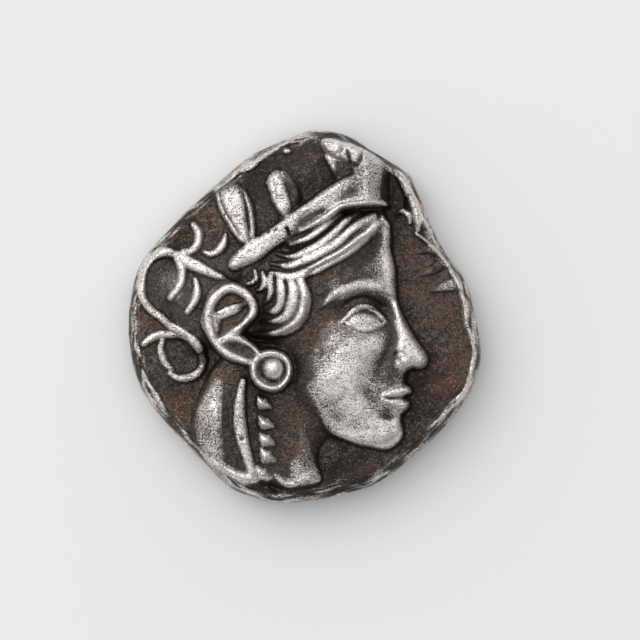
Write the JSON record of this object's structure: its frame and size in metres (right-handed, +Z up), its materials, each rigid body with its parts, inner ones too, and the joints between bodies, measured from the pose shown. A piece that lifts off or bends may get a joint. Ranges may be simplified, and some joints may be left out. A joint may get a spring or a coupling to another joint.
{
  "type": "tetradrachm coin",
  "caption": "Thick struck silver coin lying flat: helmeted head in high relief above, sunk square with an owl below, irregular rounded edge.",
  "frame": {"origin": "middle of the underside (the reverse), where the coin lies", "axes": "+Z up through the coin, out of the obverse; +Y towards the top of the head; +X the way the face looks"},
  "size_m": [0.0236, 0.025, 0.006],
  "materials": {
    "silver": "worn struck silver with dark toning in the recesses and brown earth stains"
  },
  "bodies": {
    "root": {"coin": "silver"}
  },
  "joints": []
}
